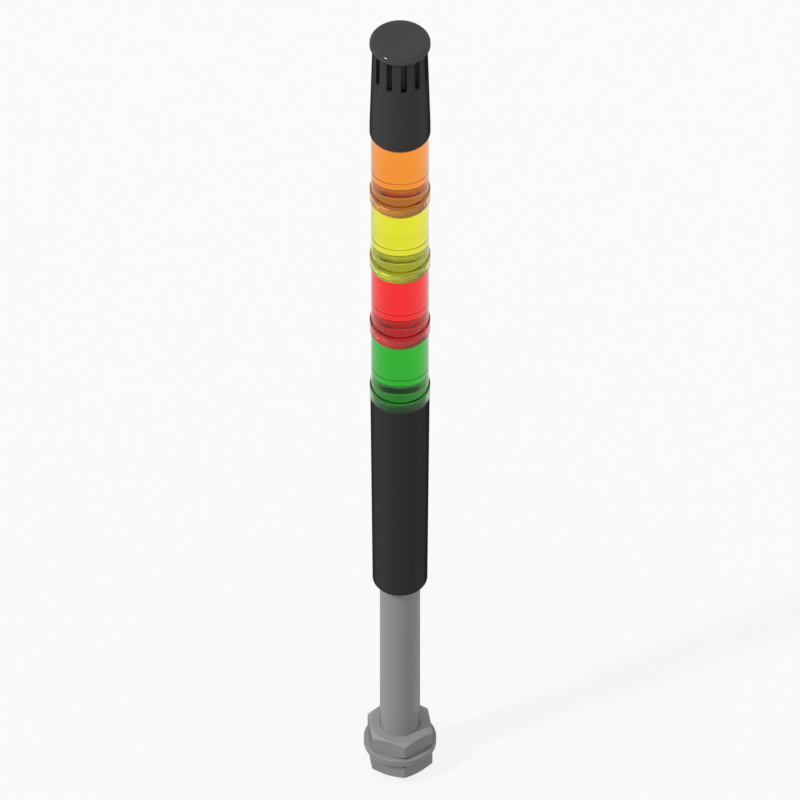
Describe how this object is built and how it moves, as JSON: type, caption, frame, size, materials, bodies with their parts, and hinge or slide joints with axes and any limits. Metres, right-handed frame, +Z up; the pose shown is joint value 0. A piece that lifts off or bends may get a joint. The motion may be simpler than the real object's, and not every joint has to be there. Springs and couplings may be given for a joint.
{
  "type": "stack light",
  "caption": "Slim round signal tower: pole with nuts and washer, long base, four coloured light modules and a slotted sounder, each locked by a bayonet twist.",
  "frame": {"origin": "on the tower's axis at the pole's lower end", "axes": "+Z up along the tower; -Y is the side that a nut corner and a sounder slot face"},
  "size_m": [0.0452, 0.0452, 0.6307],
  "materials": {
    "pole_metal": "grey satin",
    "nut_metal": "grey satin",
    "washer_metal": "grey satin",
    "black_plastic": "moulded",
    "cast_metal": "as cast",
    "screw_metal": "plated",
    "board": "glass fibre laminate",
    "terminal_plastic": "moulded",
    "contact_metal": "plated",
    "green_clear": "clear tinted",
    "red_clear": "clear tinted",
    "yellow_clear": "clear tinted",
    "orange_clear": "clear tinted",
    "led": "cast resin",
    "grey_plastic": "moulded",
    "silicone": "translucent",
    "capsule_plastic": "moulded"
  },
  "bodies": {
    "stand": {"pole": "pole_metal", "panel_washer": "washer_metal", "base_housing": "black_plastic", "pole_bush": "cast_metal", "pole_screws": "screw_metal", "base_board": "board", "terminal_block": "terminal_plastic", "terminal_screws": "screw_metal", "base_collar": "black_plastic", "base_tracks": "contact_metal"},
    "lower_nut": {"lower_nut": "nut_metal"},
    "upper_nut": {"upper_nut": "nut_metal"},
    "green_module": {"green_lens": "green_clear", "green_guide": "green_clear", "green_board": "board", "green_leds": "led", "green_plug": "grey_plastic", "green_pins": "contact_metal", "green_seal": "silicone", "green_collar": "grey_plastic", "green_tracks": "contact_metal"},
    "red_module": {"red_lens": "red_clear", "red_guide": "red_clear", "red_board": "board", "red_leds": "led", "red_plug": "grey_plastic", "red_pins": "contact_metal", "red_seal": "silicone", "red_collar": "grey_plastic", "red_tracks": "contact_metal"},
    "yellow_module": {"yellow_lens": "yellow_clear", "yellow_guide": "yellow_clear", "yellow_board": "board", "yellow_leds": "led", "yellow_plug": "grey_plastic", "yellow_pins": "contact_metal", "yellow_seal": "silicone", "yellow_collar": "grey_plastic", "yellow_tracks": "contact_metal"},
    "orange_module": {"orange_lens": "orange_clear", "orange_guide": "orange_clear", "orange_board": "board", "orange_leds": "led", "orange_plug": "grey_plastic", "orange_pins": "contact_metal", "orange_seal": "silicone", "orange_collar": "grey_plastic", "orange_tracks": "contact_metal"},
    "sounder": {"sounder_housing": "black_plastic", "sounder_cap": "black_plastic", "sounder_carrier": "grey_plastic", "sounder_board": "board", "sounder_capsule": "capsule_plastic", "sounder_baffle": "black_plastic", "sounder_plug": "grey_plastic", "sounder_pins": "contact_metal", "sounder_seal": "silicone"}
  },
  "joints": [
    {"name": "lower_nut_turn", "type": "hinge", "parent": "stand", "child": "lower_nut", "pos_m": [0, 0, 0.01135], "axis": [0, 0, 1], "continuous": true},
    {"name": "upper_nut_turn", "type": "hinge", "parent": "stand", "child": "upper_nut", "pos_m": [0, 0, 0.02895], "axis": [0, 0, 1], "continuous": true},
    {"name": "green_twist", "type": "hinge", "parent": "stand", "child": "green_module", "pos_m": [0, 0, 0.3251], "axis": [0, 0, 1], "range_deg": [0, 18]},
    {"name": "red_twist", "type": "hinge", "parent": "green_module", "child": "red_module", "pos_m": [0, 0, 0.3819], "axis": [0, 0, 1], "range_deg": [0, 18]},
    {"name": "yellow_twist", "type": "hinge", "parent": "red_module", "child": "yellow_module", "pos_m": [0, 0, 0.4387], "axis": [0, 0, 1], "range_deg": [0, 18]},
    {"name": "orange_twist", "type": "hinge", "parent": "yellow_module", "child": "orange_module", "pos_m": [0, 0, 0.4955], "axis": [0, 0, 1], "range_deg": [0, 18]},
    {"name": "sounder_twist", "type": "hinge", "parent": "orange_module", "child": "sounder", "pos_m": [0, 0, 0.5523], "axis": [0, 0, 1], "range_deg": [0, 18]}
  ]
}
